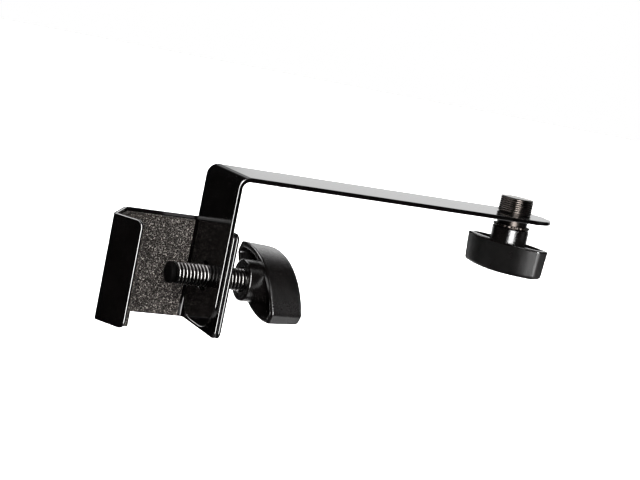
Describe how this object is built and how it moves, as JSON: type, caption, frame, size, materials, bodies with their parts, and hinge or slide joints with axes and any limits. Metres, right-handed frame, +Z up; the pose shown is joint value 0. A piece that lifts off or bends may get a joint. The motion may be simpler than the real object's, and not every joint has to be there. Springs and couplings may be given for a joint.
{
  "type": "microphone stand extension bar",
  "caption": "Bent flat bar with a padded V-jaw clamp and screw knob at one end and a captive threaded stud with a wing knob at the other.",
  "frame": {"origin": "on the axis of the stand tube held in the V-jaw, level with the clamp screw's axis", "axes": "+X along the arm from the stand tube to the stud, +Z up along the stand tube, -Y towards the jaw's open side"},
  "size_m": [0.2087, 0.0448, 0.0756],
  "materials": {
    "bar_paint": "high gloss black lacquer",
    "jaw_paint": "high gloss black lacquer",
    "plate_paint": "high gloss black lacquer",
    "liner": "granular cork-rubber sheet",
    "screw_steel": "dark nickel plated rolled thread",
    "tip_plastic": "matt black",
    "clamp_knob_plastic": "satin black moulding",
    "stud_steel": "dark nickel plated cut thread",
    "washer_steel": "bright plated",
    "stud_knob_plastic": "satin black moulding"
  },
  "bodies": {
    "frame": {"extension_bar": "bar_paint", "clamp_jaw": "jaw_paint", "nut_plate": "plate_paint", "jaw_liner": "liner"},
    "screw_tip": {"screw_tip_cap": "tip_plastic"},
    "clamp_handle": {"clamp_screw": "screw_steel", "clamp_knob": "clamp_knob_plastic"},
    "stud_float": {"stud_washer": "washer_steel"},
    "stud_handle": {"threaded_stud": "stud_steel", "stud_knob": "stud_knob_plastic"}
  },
  "joints": [
    {"name": "screw_feed", "type": "slide", "parent": "frame", "child": "screw_tip", "axis": [-1, 0, 0], "range_m": [-0.0125, 0.0115]},
    {"name": "clamp_knob_turn", "type": "hinge", "parent": "screw_tip", "child": "clamp_handle", "pos_m": [0.045, 0, 0], "axis": [-1, 0, 0], "range_deg": [-2800, 2590]},
    {"name": "stud_lift", "type": "slide", "parent": "frame", "child": "stud_float", "axis": [0, 0, 1], "range_m": [0, 0.0033]},
    {"name": "stud_knob_turn", "type": "hinge", "parent": "stud_float", "child": "stud_handle", "pos_m": [0.1752, 0, 0.04], "axis": [0, 0, 1], "continuous": true}
  ],
  "couplings": [
    {"joint": "screw_feed", "follows": "clamp_knob_turn", "m_per_rad": 0.00025266}
  ]
}
